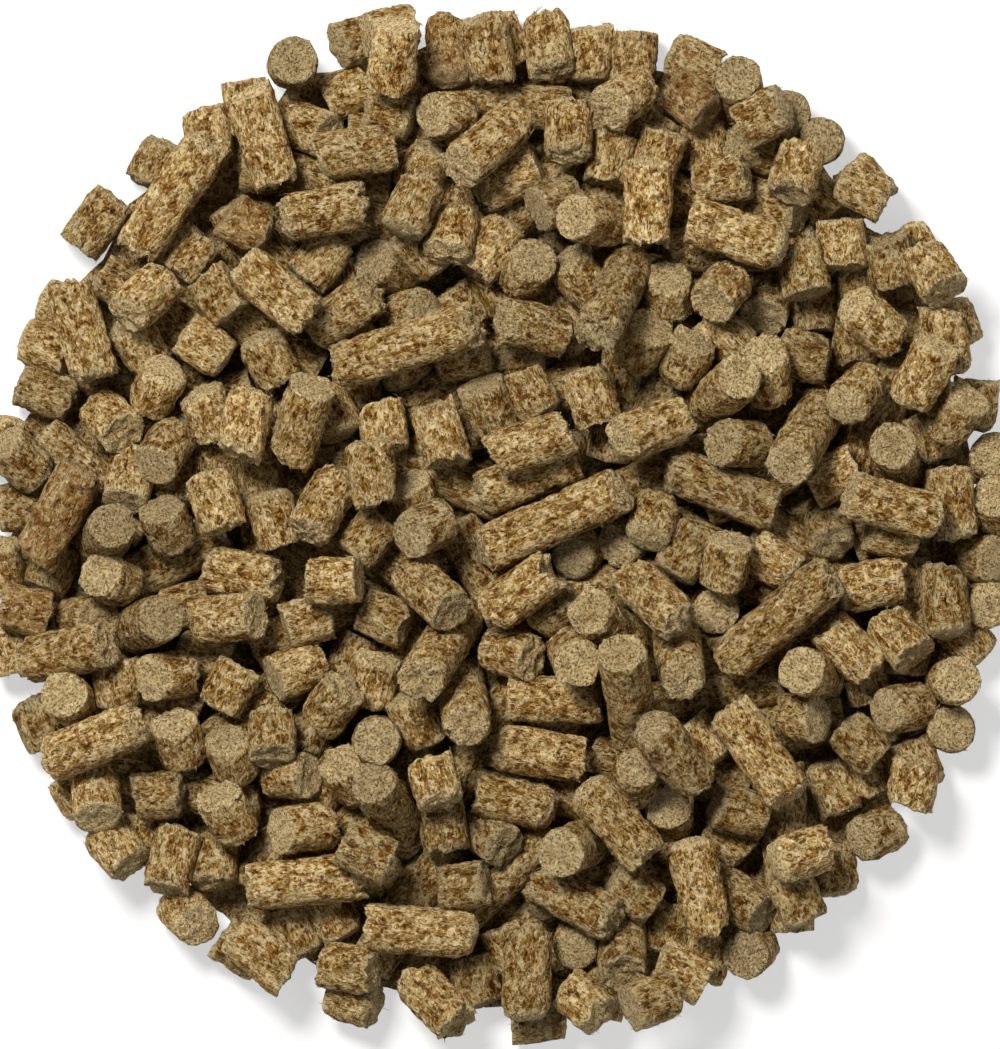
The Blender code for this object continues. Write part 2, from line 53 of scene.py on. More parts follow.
# %% Sizes
HEAP_RADIUS = 0.0632
PELLET_RADIUS = 0.0030
END_BEVEL = 0.40 * PELLET_RADIUS
LOOSE_GAP = 0.00040  # around a loose pellet
FUSED_BITE = 0.00070  # of two pellets of the bed
CRUMB_HEIGHT = 0.0011
CRUMB_RADIUS = 0.9415 * HEAP_RADIUS
CRUMB_BITE = 0.0004
HIDDEN_RADIUS = 0.791 * HEAP_RADIUS
HIDDEN_COUNT = 56
LEVELS = (1.33, 4.0, 6.33, 9.0)  # where the four layers start, in pellet radii
STANDING_LEAN = 54.0
TOP_MIDDLE = 6.67 * PELLET_RADIUS
TOP_RIM = 3.67 * PELLET_RADIUS
SINK = 0.00012
SHAKES = 380
CALM_SHAKES = 120
DROPS = 40
CIRCLE_STEPS = 526.67  # the heap's radius in picture steps
STEP = HEAP_RADIUS / CIRCLE_STEPS
STEP_MIDDLE = (496.0, 521.0)
print("heap", 2 * HEAP_RADIUS, "m across, pellets", 2 * PELLET_RADIUS, "m thick")

# %% [markdown]
# Each row is one visible pellet: the middle of its higher end, the middle of its lower end, both in
# picture steps from the top left, and its lean in degrees. They were counted on enlarged crops.
# The first list holds the loose pellets on the top, the second the ones they lie on, and the third what
# shows in the gaps.

# %% Places read from the picture
LOOSE = [
    (138, 256, 208, 130, 12), (68, 282, 106, 385, 5), (122, 322, 160, 283, 35), (268, 395, 226, 458, 8),
    (84, 462, 24, 566, 5), (197, 480, 234, 535, 15), (262, 80, 272, 192, 8), (300, 57, 302, 59, 85),
    (389, 18, 385, 92, 10), (405, 157, 312, 150, 5), (446, 172, 520, 110, 22), (407, 233, 432, 185, 20),
    (366, 204, 282, 223, 20), (317, 320, 238, 262, 8), (477, 322, 328, 378, 5), (557, 90, 569, 156, 10),
    (600, 112, 652, 98, 40), (630, 246, 652, 158, 15), (748, 178, 688, 180, 12), (690, 222, 780, 266, 12),
    (793, 188, 802, 145, 30), (856, 292, 893, 350, 25), (893, 398, 945, 344, 15), (842, 410, 868, 372, 45),
    (560, 344, 497, 305, 5), (702, 302, 722, 262, 40), (573, 365, 604, 422, 5), (608, 442, 690, 420, 5),
    (490, 455, 580, 432, 8), (470, 540, 637, 492, 3), (708, 450, 764, 434, 20), (790, 467, 812, 447, 58),
    (847, 476, 945, 518, 6), (315, 378, 293, 470, 12), (372, 440, 377, 512, 5), (449, 462, 425, 405, 30),
    (307, 528, 340, 472, 38), (440, 515, 402, 556, 10), (728, 702, 790, 808, 6), (266, 622, 192, 608, 15),
    (152, 722, 46, 768, 6), (210, 785, 250, 828, 20), (308, 590, 360, 570, 12), (450, 642, 388, 573, 10),
    (318, 720, 352, 680, 20), (462, 730, 455, 708, 65), (583, 766, 488, 738, 6), (428, 752, 440, 808, 5),
    (345, 838, 390, 852, 12), (240, 886, 366, 885, 3), (594, 775, 640, 867, 6), (680, 832, 710, 930, 8),
    (535, 925, 544, 1022, 4), (768, 872, 828, 855, 12), (560, 567, 494, 630, 6), (635, 563, 672, 648, 8),
    (845, 580, 706, 652, 5), (635, 706, 703, 786, 8), (402, 985, 462, 1038, 6),
]

UPPER = [
    (78, 248, 98, 182, 8), (145, 162, 158, 124, 30), (230, 210, 264, 230, 30), (232, 318, 202, 275, 10),
    (330, 34, 345, 8, 35), (345, 118, 293, 100, 12), (371, 20, 378, 2, 10), (410, 115, 364, 112, 8),
    (447, 92, 431, 12, 6), (476, 20, 481, 98, 3), (446, 116, 462, 104, 50), (436, 264, 460, 222, 10),
    (330, 245, 318, 268, 40), (375, 278, 318, 335, 20), (470, 262, 522, 220, 10), (482, 190, 548, 160, 12),
    (514, 68, 512, 4, 8), (548, 76, 558, 4, 15), (598, 75, 603, 4, 12), (645, 68, 638, 8, 10),
    (594, 184, 617, 142, 20), (706, 55, 670, 62, 10), (738, 64, 742, 84, 60), (732, 104, 682, 92, 8),
    (795, 99, 742, 112, 8), (774, 152, 728, 136, 10), (808, 234, 722, 205, 5), (535, 202, 568, 184, 30),
    (580, 222, 596, 225, 65), (522, 262, 506, 284, 50), (606, 278, 562, 262, 10), (682, 306, 660, 264, 10),
    (598, 332, 612, 305, 60), (652, 328, 636, 348, 52), (698, 342, 678, 384, 15), (728, 384, 724, 396, 76),
    (634, 392, 658, 374, 35), (522, 372, 542, 412, 15), (658, 472, 784, 505, 4), (650, 528, 661, 490, 20),
    (735, 535, 722, 560, 50), (612, 552, 640, 520, 10), (672, 562, 690, 540, 45), (596, 612, 606, 622, 66),
    (583, 660, 577, 652, 80), (625, 655, 625, 678, 56), (682, 682, 680, 656, 60), (815, 275, 815, 242, 35),
    (850, 262, 845, 216, 8), (893, 278, 888, 228, 10), (958, 292, 926, 242, 8), (955, 372, 947, 296, 5),
    (882, 448, 884, 450, 84), (795, 342, 832, 358, 10), (758, 345, 780, 412, 8), (755, 315, 778, 290, 40),
    (962, 400, 940, 426, 48), (951, 545, 950, 462, 5), (1000, 540, 988, 472, 5), (888, 205, 852, 190, 15),
    (135, 446, 106, 408, 35), (152, 465, 182, 438, 45), (165, 365, 150, 402, 45), (195, 345, 212, 370, 30),
    (205, 424, 210, 386, 25), (245, 345, 276, 372, 15), (66, 420, 15, 376, 8), (46, 467, 8, 452, 10),
    (50, 342, 12, 335, 8), (114, 528, 108, 536, 78), (162, 508, 180, 540, 45), (254, 494, 270, 546, 10),
    (443, 290, 395, 318, 8), (480, 392, 495, 426, 45), (42, 608, 0, 608, 8), (105, 570, 122, 596, 50),
    (65, 606, 135, 628, 5), (22, 662, 128, 640, 5), (153, 617, 145, 618, 74), (200, 572, 286, 580, 6),
    (242, 668, 212, 712, 20), (152, 676, 180, 668, 52), (182, 734, 200, 746, 50), (68, 699, 70, 701, 84),
    (104, 818, 102, 772, 8), (128, 792, 182, 790, 5), (268, 757, 262, 718, 38), (398, 632, 365, 624, 25),
    (278, 678, 315, 658, 8), (384, 725, 386, 727, 84), (426, 690, 440, 672, 55), (485, 670, 530, 655, 10),
    (602, 716, 505, 692, 6), (470, 780, 552, 812, 4), (375, 793, 381, 797, 76), (340, 750, 343, 776, 50),
    (318, 780, 268, 782, 8), (274, 836, 318, 828, 45), (358, 926, 476, 927, 3), (442, 893, 484, 880, 18),
    (508, 852, 482, 840, 45), (565, 855, 576, 840, 66), (630, 928, 535, 888, 5), (592, 960, 585, 932, 20),
    (626, 980, 628, 962, 58), (690, 978, 662, 962, 15), (784, 960, 736, 972, 5), (762, 928, 728, 868, 6),
    (858, 886, 853, 842, 8), (828, 762, 856, 812, 22), (792, 722, 824, 718, 25), (800, 668, 804, 672, 76),
    (868, 680, 820, 628, 10), (914, 645, 898, 617, 40), (950, 562, 950, 640, 6), (967, 669, 965, 671, 78),
    (898, 716, 934, 712, 42), (910, 580, 838, 600, 6), (925, 805, 922, 762, 8), (882, 842, 905, 836, 12),
    (165, 900, 187, 830, 5), (210, 904, 210, 842, 6), (115, 868, 95, 832, 8), (200, 942, 168, 930, 10),
    (232, 930, 284, 988, 12), (318, 975, 380, 970, 12), (362, 1028, 348, 1002, 45), (487, 1010, 473, 955, 10),
    (598, 1040, 590, 1010, 8), (680, 1015, 636, 1028, 5), (815, 940, 790, 905, 6),
]

LOWER = [
    (190, 115, 208, 88, 25), (230, 105, 217, 72, 10), (212, 238, 192, 262, 15), (352, 66, 322, 84, 20),
    (418, 88, 412, 68, 10), (426, 136, 418, 170, 15), (418, 258, 405, 240, 30), (370, 252, 402, 272, 8),
    (668, 165, 662, 112, 10), (704, 138, 700, 150, 35), (684, 250, 670, 212, 10), (728, 352, 705, 335, 10),
    (582, 474, 472, 496, 4), (584, 590, 583, 538, 8), (548, 648, 562, 616, 12), (742, 570, 782, 566, 15),
    (712, 618, 722, 588, 10), (815, 308, 812, 285, 10), (930, 456, 918, 424, 12), (828, 480, 836, 452, 10),
    (838, 560, 832, 520, 10), (905, 545, 866, 536, 8), (975, 438, 990, 402, 10), (985, 365, 984, 312, 5),
    (825, 205, 815, 175, 10), (826, 150, 820, 125, 25), (914, 228, 916, 205, 20), (885, 165, 846, 150, 8),
    (815, 112, 805, 98, 15), (148, 345, 140, 332, 10), (225, 470, 225, 450, 20), (42, 312, 26, 300, 15),
    (22, 510, 2, 520, 10), (160, 492, 165, 478, 10), (122, 485, 130, 470, 10), (482, 304, 462, 280, 10),
    (380, 402, 375, 446, 8), (495, 362, 440, 380, 8), (420, 380, 380, 388, 5), (338, 430, 345, 402, 8),
    (405, 500, 420, 465, 8), (366, 548, 385, 524, 8), (60, 580, 88, 560, 8), (188, 645, 216, 668, 8),
    (112, 688, 108, 664, 10), (12, 728, 6, 700, 8), (190, 752, 140, 748, 5), (230, 765, 220, 750, 10),
    (392, 690, 393, 656, 10), (300, 642, 318, 632, 8), (425, 725, 420, 705, 10), (430, 845, 414, 815, 10),
    (716, 990, 716, 962, 10), (855, 705, 836, 668, 10), (992, 590, 988, 560, 6), (995, 640, 990, 612, 8),
    (886, 800, 888, 752, 5), (945, 780, 932, 752, 8), (960, 745, 965, 728, 20), (868, 746, 838, 728, 8),
    (138, 862, 134, 828, 10), (76, 818, 66, 800, 10), (235, 975, 208, 962, 8), (298, 940, 290, 912, 8),
    (510, 965, 506, 925, 8), (342, 935, 322, 920, 10), (582, 1002, 584, 970, 8), (540, 1042, 510, 1035, 5),
    (768, 815, 722, 818, 5), (665, 822, 660, 800, 8), (665, 900, 612, 878, 5), (666, 935, 662, 908, 8),
    (724, 850, 724, 828, 8), (636, 768, 640, 780, 50), (715, 765, 700, 720, 6), (-12, 420, -6, 480, 5),
    (-16, 530, -8, 590, 5), (-6, 640, 0, 676, 6), (1012, 420, 1010, 470, 5), (1008, 640, 1004, 690, 5),
]
print("pellets read from the picture:", len(LOOSE), len(UPPER), len(LOWER))

# %% [markdown]
# To settle a heap, every pellet sinks a little each turn. Pairs whose axes come closer than a pellet's
# thickness push each other apart and turn each other, and weak springs hold each one near its place.
# This is plain relaxation in arrays, much faster than a simulation and the same on every machine.

# %% Settling the heap
def nearest(middle_a, way_a, half_a, middle_b, way_b, half_b):
    """Nearest points of straight axes: how far along each they lie, and the step between them."""
    apart = middle_b - middle_a
    turn = (way_a * way_b).sum(-1)
    along_a = (apart * way_a).sum(-1)
    along_b = (apart * way_b).sum(-1)
    part_a = (along_a - turn * along_b) / np.maximum(1.0 - turn * turn, 1e-9)
    part_a = np.clip(part_a, -half_a, half_a)
    part_b = np.clip(turn * part_a - along_b, -half_b, half_b)
    part_a = np.clip(along_a + turn * part_b, -half_a, half_a)
    step = apart + way_b * part_b[..., None] - way_a * part_a[..., None]
    return part_a, part_b, step, np.sqrt((step * step).sum(-1))


def top_height(reach):
    """Height the upper ends of standing pellets come to at this distance from the middle."""
    share = min(reach / HEAP_RADIUS, 1.0)
    return TOP_MIDDLE + (TOP_RIM - TOP_MIDDLE) * share ** 3


def from_picture(row, level):
    """One listed row as a pellet that still has to come to rest."""
    high = Vector(((row[0] - STEP_MIDDLE[0]) * STEP, (STEP_MIDDLE[1] - row[1]) * STEP))
    low = Vector(((row[2] - STEP_MIDDLE[0]) * STEP, (STEP_MIDDLE[1] - row[3]) * STEP))
    limit = HEAP_RADIUS - 0.35 * PELLET_RADIUS
    for end in (high, low):
        if end.length > limit:
            end *= limit / end.length
    run = high - low
    lean = math.radians(row[4])
    heading = math.atan2(run.y, run.x)
    length = max(run.length / math.cos(min(lean, 0.9)), 2.3 * PELLET_RADIUS)
    middle = (high + low) / 2
    standing = row[4] >= STANDING_LEAN
    if standing:
        tall = top_height(high.length) - PELLET_RADIUS * math.cos(lean) - CRUMB_HEIGHT
        length = max(tall / math.sin(lean), 2.3 * PELLET_RADIUS)
        middle = high - Vector((math.cos(heading), math.sin(heading))) * length / 2 * math.cos(lean)
    keep = HEAP_RADIUS - 0.95 * PELLET_RADIUS
    if middle.length > keep:
        middle *= keep / middle.length
    height = LEVELS[level] * PELLET_RADIUS
    if standing:
        height = CRUMB_HEIGHT + length / 2 * math.sin(lean) + PELLET_RADIUS * math.cos(lean)
    return {
        "middle": (middle.x, middle.y, height),
        "way": (math.cos(lean) * math.cos(heading), math.cos(lean) * math.sin(heading), math.sin(lean)),
        "length": length,
        "loose": level == 3,
        "grip": 0.12 if standing else 0.02 + 0.01 * level,
        "hold": 0.15 if standing else (0.05 if row[4] > 32 else 0.01),
    }


def hidden_pellets():
    """Pellets of the covered layer, spread evenly from the middle out."""
    dice = random.Random(11)
    found = []
    for number in range(HIDDEN_COUNT):
        turn = number * 2.399963
        reach = HIDDEN_RADIUS * math.sqrt((number + 0.5) / HIDDEN_COUNT)
        heading = dice.uniform(0, math.pi)
        found.append({
            "middle": (reach * math.cos(turn), reach * math.sin(turn), LEVELS[0] * PELLET_RADIUS),
            "way": (math.cos(heading), math.sin(heading), 0.0),
            "length": dice.uniform(4.7, 7.3) * PELLET_RADIUS,
            "loose": False,
            "grip": 0.004,
            "hold": 0.01,
        })
    return found


class Pile:
    """All pellets of the heap as arrays, and the steps that bring them to rest."""

    def __init__(self, pellets):
        for name in ("middle", "way", "length", "loose", "grip", "hold"):
            setattr(self, name, np.array([pellet[name] for pellet in pellets]))
        self.way = np.round(self.way, 9)
        self.half = self.length / 2 - END_BEVEL
        self.spin = self.length ** 2 / 12 + PELLET_RADIUS ** 2 / 4

    def spacing(self, one, two):
        """Wanted distance of two axes: fused pellets bite a little, loose ones keep a gap."""
        return 2 * PELLET_RADIUS + np.where(self.loose[one] | self.loose[two], LOOSE_GAP, -FUSED_BITE)

    def push_apart(self, one, two, wanted):
        """Moves and turns each pair that is too close, half each."""
        part_one, part_two, step, apart = nearest(
            self.middle[one], self.way[one], self.half[one], self.middle[two], self.way[two], self.half[two])
        close = wanted > apart
        one, two = one[close], two[close]
        lever_one = part_one[close] / self.spin[one]
        lever_two = part_two[close] / self.spin[two]
        ease = 2 + part_one[close] * lever_one + part_two[close] * lever_two
        push = ((wanted - apart)[close] / ease / np.maximum(apart[close], 1e-6))[:, None] * step[close]
        count = len(self.length)
        touching = np.maximum(np.bincount(one, minlength=count) + np.bincount(two, minlength=count), 1)
        calm = 1.3 / np.sqrt(touching)
        for axis in range(3):
            moved = np.bincount(two, push[:, axis], count) - np.bincount(one, push[:, axis], count)
            turned = np.bincount(two, push[:, axis] * lever_two, count)
            turned -= np.bincount(one, push[:, axis] * lever_one, count)
            self.middle[:, axis] += moved * calm
            self.way[:, axis] += turned * calm

    def keep_inside(self):
        """Holds both ends of every pellet above the ground and inside the round of the heap."""
        ease = 1 + self.half ** 2 / self.spin
        for end in (-1, 1):
            upright = np.abs(self.way[:, 2])
            flat = np.sqrt(np.maximum(1 - upright ** 2, 0))
            ground = CRUMB_HEIGHT + np.where(self.loose, LOOSE_GAP, -CRUMB_BITE)
            low = ground + PELLET_RADIUS * flat + END_BEVEL * upright
            lift = np.maximum(low - self.middle[:, 2] - end * self.half * self.way[:, 2], 0) / ease
            self.middle[:, 2] += lift
            self.way[:, 2] += end * lift * self.half / self.spin
            tip = self.middle[:, :2] + (end * self.half)[:, None] * self.way[:, :2]
            reach = np.sqrt((tip * tip).sum(-1))
            over = np.maximum(reach - HEAP_RADIUS + 0.9 * PELLET_RADIUS, 0) / np.maximum(reach, 1e-9) / ease
            self.middle[:, :2] -= tip * over[:, None]
            self.way[:, :2] -= tip * (over * end * self.half / self.spin)[:, None]
        self.way /= np.sqrt((self.way * self.way).sum(-1))[:, None]

    def shake_down(self):
        """Lets all pellets sink together while they push each other aside and keep near their places."""
        home = self.middle.copy()
        wanted_way = self.way.copy()
        for turn in range(SHAKES + CALM_SHAKES):
            if turn % 8 == 0:
                reach = self.half[:, None] + self.half[None] + 3.0 * PELLET_RADIUS
                step = self.middle[:, None] - self.middle[None]
                one, two = np.nonzero(np.triu((step * step).sum(-1) < reach * reach, 1))
                wanted = self.spacing(one, two)
            calm = turn >= SHAKES
            self.middle[:, 2] -= SINK * (0.08 if calm else 1 - 0.8 * turn / SHAKES)
            for _ in range(2):
                self.push_apart(one, two, wanted)
                self.keep_inside()
            if not calm:
                self.middle[:, :2] += (home - self.middle)[:, :2] * self.grip[:, None]
                self.way += (wanted_way - self.way) * self.hold[:, None]
                self.way[:, :2] += (wanted_way - self.way)[:, :2] * self.grip[:, None]
                self.way /= np.sqrt((self.way * self.way).sum(-1))[:, None]
            self.middle = np.round(self.middle, 8)
            self.way = np.round(self.way, 8)

    def spaces_around(self, index):
        """Distance of one pellet's axis from all others, and last the height of its underside."""
        one = np.full(len(self.length), index)
        apart = nearest(self.middle[one], self.way[one], self.half[one], self.middle, self.way, self.half)[3]
        apart[index] = 1.0
        lowest = self.middle[index, 2] - self.half[index] * abs(self.way[index, 2])
        return np.append(apart, lowest - CRUMB_HEIGHT + PELLET_RADIUS)

    def let_down(self):
        """Lets every loose pellet down in small steps until something under it is a gap away."""
        for _ in range(DROPS):
            for index in np.nonzero(self.loose)[0]:
                before = self.spaces_around(index)
                self.middle[index, 2] -= 0.5 * LOOSE_GAP
                after = self.spaces_around(index)
                if (after < np.minimum(before - 1e-7, 2 * PELLET_RADIUS + LOOSE_GAP)).any():
                    self.middle[index, 2] += 0.5 * LOOSE_GAP


def settled_pile():
    """The whole heap at rest, centred over the origin."""
    pellets = hidden_pellets()
    pellets += [from_picture(row, 1) for row in LOWER]
    pellets += [from_picture(row, 2) for row in UPPER]
    pellets += [from_picture(row, 3) for row in LOOSE]
    pile = Pile(pellets)
    pile.shake_down()
    pile.let_down()
    side = np.abs(pile.way[:, :2]) * pile.half[:, None] + PELLET_RADIUS
    low = (pile.middle[:, :2] - side).min(axis=0)
    high = (pile.middle[:, :2] + side).max(axis=0)
    pile.moved = -np.round((low + high) / 2, 6)
    pile.middle[:, :2] += pile.moved
    return pile


pile = settled_pile()
print("pellets at rest", len(pile.length), "highest axis", round(float(pile.middle[:, 2].max()), 4), "m")

# %% [markdown]
# Pressed fibre is rough at every scale, so the forms need one good source of unevenness. Value noise does
# it: random numbers on a lattice, blended smoothly between the points. Done in arrays it is quick enough
# for a million points, and it gives the same lumps on every run.

# %% Unevenness
LATTICE = np.random.default_rng(7).random((32, 32, 32))


def lumps(points, per_mm):
    """Smooth random values from -1 to 1 at points given in millimetres."""
    spread = points * per_mm
    cell = np.floor(spread).astype(int)
    part = spread - cell
    part = part * part * (3 - 2 * part)
    total = 0.0
    for corner in range(8):
        pick = np.array([corner & 1, corner >> 1 & 1, corner >> 2])
        weight = np.prod(np.where(pick == 1, part, 1 - part), axis=-1)
        at = (cell + pick) % 32
        total = total + weight * LATTICE[at[..., 0], at[..., 1], at[..., 2]]
    return total * 2 - 1


def smooth(low, high, value):
    share = np.clip((value - low) / (high - low), 0, 1)
    return share * share * (3 - 2 * share)


print("lattice", LATTICE.shape)

# %% [markdown]
# A rod breaks off at the die in several ways. Some ends are flat discs with a thin pale rim, some are torn
# to a crown with a hollow inside, some are ragged and bulge, some are worn to a dome. Each end is a height
# over its disc, and the rows of the side bend along with the rim, so end and side stay one closed skin.

# %% End forms
# Ends that the picture shows clearly, by their place in picture steps, and the ends of the rusty pellets
DISCS = {(300, 57), (68, 699), (384, 725), (375, 793), (882, 448), (728, 384), (800, 668), (967, 669),
         (583, 660), (153, 617), (114, 528), (790, 467), (274, 836), (565, 855), (738, 64), (580, 222)}
CROWNS = {(135, 446), (630, 246), (793, 188), (702, 302), (914, 645), (449, 462), (594, 184), (755, 315),
          (596, 612), (426, 690), (652, 328), (625, 655)}
RAGGED = {(318, 720), (428, 752), (308, 590), (366, 204), (317, 320), (205, 424), (462, 730), (225, 470)}
DOMES = {(856, 292), (893, 398), (165, 365), (828, 762), (842, 410), (245, 345)}
RUSTY = {(84, 462), (447, 92), (230, 210), (732, 104), (42, 608), (862, 468)}

# How far an end tilts and how far it narrows, in mm, and how pale its edge is
TILT = {"disc": 0.10, "crown": 0.25, "ragged": 0.35, "dome": 0.15, "slant": 0.80}
WEAR = {"disc": 0.03, "crown": 0.02, "ragged": 0.06, "dome": 0.12, "slant": 0.05}
PALE_EDGE = {"disc": 0.9, "crown": 1.0, "ragged": 0.8, "dome": 0.35, "slant": 0.7}


def end_kind(spot, dice):
    """The form of an end: as seen where the picture shows it, else drawn by lot."""
    for kind, spots in (("disc", DISCS), ("crown", CROWNS), ("ragged", RAGGED), ("dome", DOMES)):
        if spot in spots:
            return kind
    return dice.choice(("disc", "ragged", "ragged", "ragged", "crown", "dome", "slant", "slant"))


def end_height(kind, share, around, spot_mm, calm, dice):
    """How far the end face lies below the pellet's full length, in mm, and how hollow it is, which darkens
    the hollow as painted shade.
    """
    tilt_way = dice.uniform(0, 2 * math.pi)
    tilt = TILT[kind] * dice.uniform(0.5, 1.2)
    drop = tilt * (1 + share * np.cos(around - tilt_way))
    rough = lumps(spot_mm, 0.9)
    fine = lumps(spot_mm + 9, 2.3)
    rim = np.stack([np.cos(around) * 2.2, np.sin(around) * 2.2, around * 0 + dice.uniform(0, 30)], axis=-1)
    teeth = lumps(rim, 1.6) * 0.6 + lumps(rim, 3.9) * 0.4
    if kind == "disc":
        drop = drop + 0.22 * (1 - share ** 3) + 0.20 * fine + 0.18 * rough
        drop = drop + (0.15 - 0.35 * teeth) * share ** 6
        hollow_shade = 0.12 * (1 - share ** 4)
    elif kind == "crown":
        depth_and_painted_shade = dice.uniform(0.5, 1.2)
        drop = drop + depth_and_painted_shade * (1 - share ** 2.2) + (0.60 - 0.95 * teeth) * share ** 2
        drop = drop + 0.50 * rough + 0.25 * fine
        hollow_shade = 0.42 * (1 - share ** 3)
    elif kind == "ragged":
        drop = drop + 0.40 + 0.62 * rough + 0.32 * fine + (0.40 - 0.85 * teeth) * share ** 3
        hollow_shade = 0.10 + 0.45 * np.clip(rough, 0, 1)
    elif kind == "dome":
        drop = drop + 0.85 * share ** 3 + 0.24 * rough + 0.14 * fine
        hollow_shade = 0.05 + 0 * share
    else:
        drop = drop + 0.30 + 0.42 * rough + 0.25 * fine + (0.25 - 0.55 * teeth) * share ** 3
        hollow_shade = 0.15 * (1 - share ** 3)
    return np.maximum(drop * calm, 0.0), hollow_shade * calm


print("end kinds: disc, crown, ragged, dome, slant")
